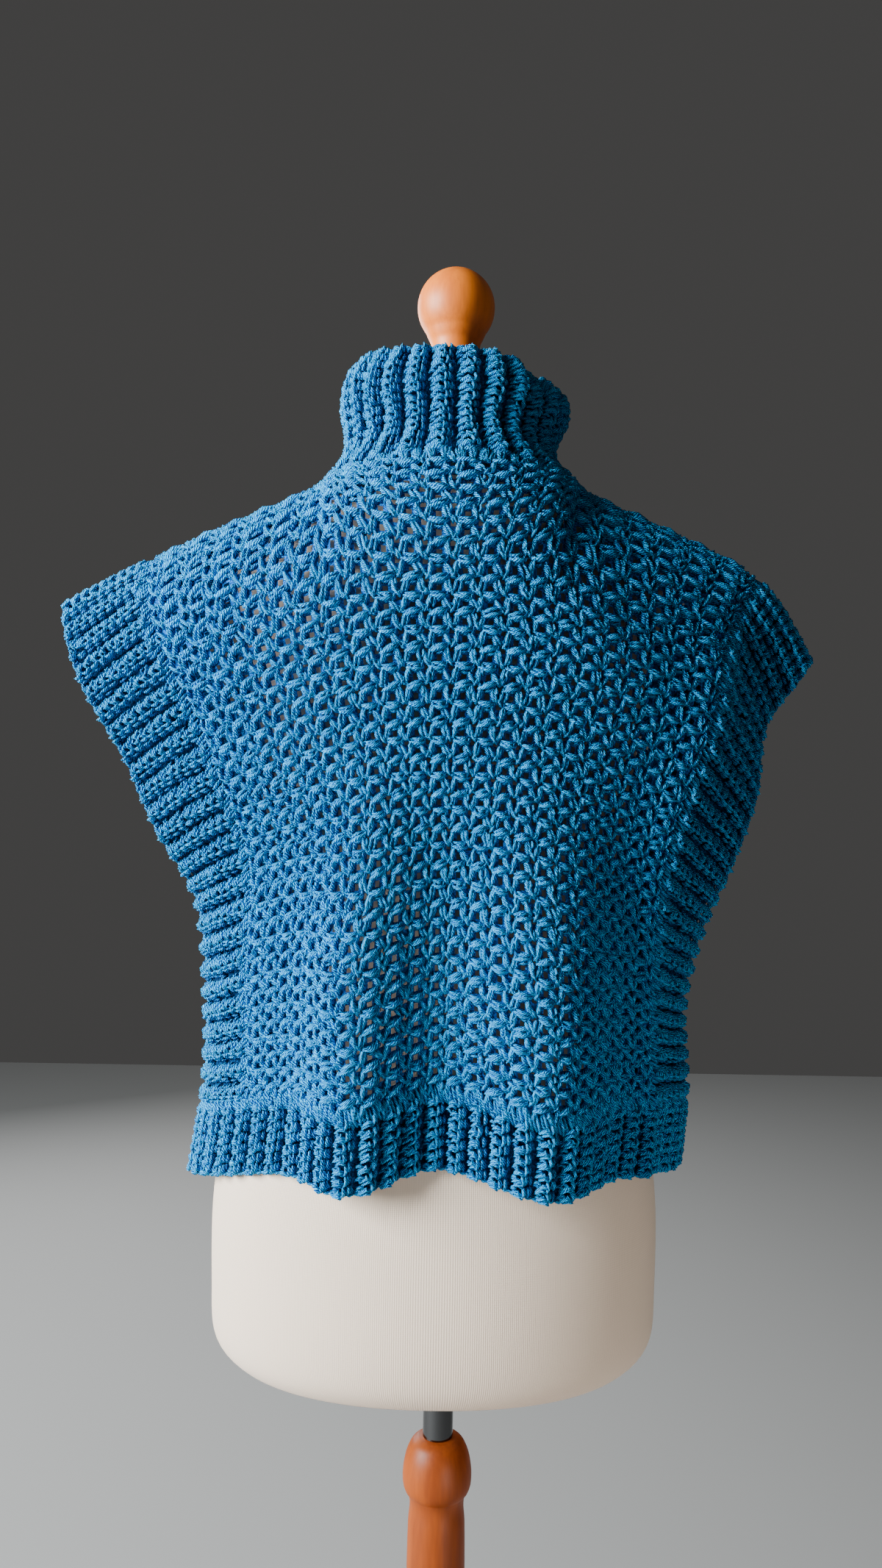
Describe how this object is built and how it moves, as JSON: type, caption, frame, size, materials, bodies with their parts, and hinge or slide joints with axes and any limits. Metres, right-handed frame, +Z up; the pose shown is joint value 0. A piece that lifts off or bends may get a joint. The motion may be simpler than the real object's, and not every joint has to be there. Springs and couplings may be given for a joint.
{
  "type": "sweater vest on a dress form",
  "caption": "Chunky crocheted blue sweater vest with a high ribbed collar, worn by a jersey-covered dress form on a turned wooden stand.",
  "frame": {"origin": "centre of the base's underside, on the floor", "axes": "+Z up along the stand; -Y the way the garment's back faces; +X the wearer's right"},
  "size_m": [0.6194, 0.4, 1.5968],
  "materials": {
    "yarn": "matte",
    "jersey": "matte",
    "wood": "satin",
    "chrome": "polished"
  },
  "bodies": {
    "root": {"back_panel": "yarn", "front_panel": "yarn", "side_band_left": "yarn", "side_band_right": "yarn", "back_hem": "yarn", "front_hem": "yarn", "collar": "yarn", "form_torso": "jersey", "neck_cap": "wood", "ball_finial": "wood", "pole": "chrome", "column": "wood", "base": "wood"}
  },
  "joints": []
}
